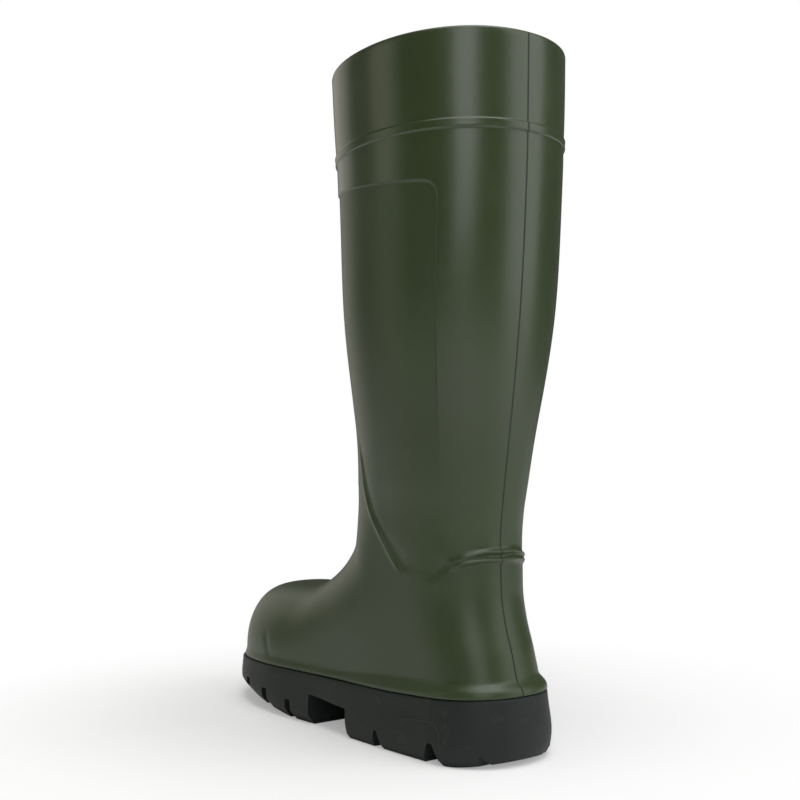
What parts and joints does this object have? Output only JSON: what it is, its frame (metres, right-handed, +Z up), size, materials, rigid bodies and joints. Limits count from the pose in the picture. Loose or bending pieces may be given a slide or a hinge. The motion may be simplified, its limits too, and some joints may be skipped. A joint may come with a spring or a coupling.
{
  "type": "safety wellington boot",
  "caption": "Knee-high moulded safety wellington for the left foot: hollow shaft with a cuff bead, broad round toe, ridged heel and a cleated sole with a heel block.",
  "frame": {"origin": "on the floor under the middle of the heel's tread", "axes": "+Z up along the shaft, +Y towards the toe, +X towards the wearer's right, which is the inner side of this left foot"},
  "size_m": [0.124, 0.3076, 0.395],
  "materials": {
    "olive_rubber": "satin moulded rubber, dark olive green",
    "sole_rubber": "matt moulded rubber, very dark grey green",
    "insole_foam": "matt felted foam, dark grey"
  },
  "bodies": {
    "root": {"upper": "olive_rubber", "outsole": "sole_rubber", "insole": "insole_foam"}
  },
  "joints": []
}
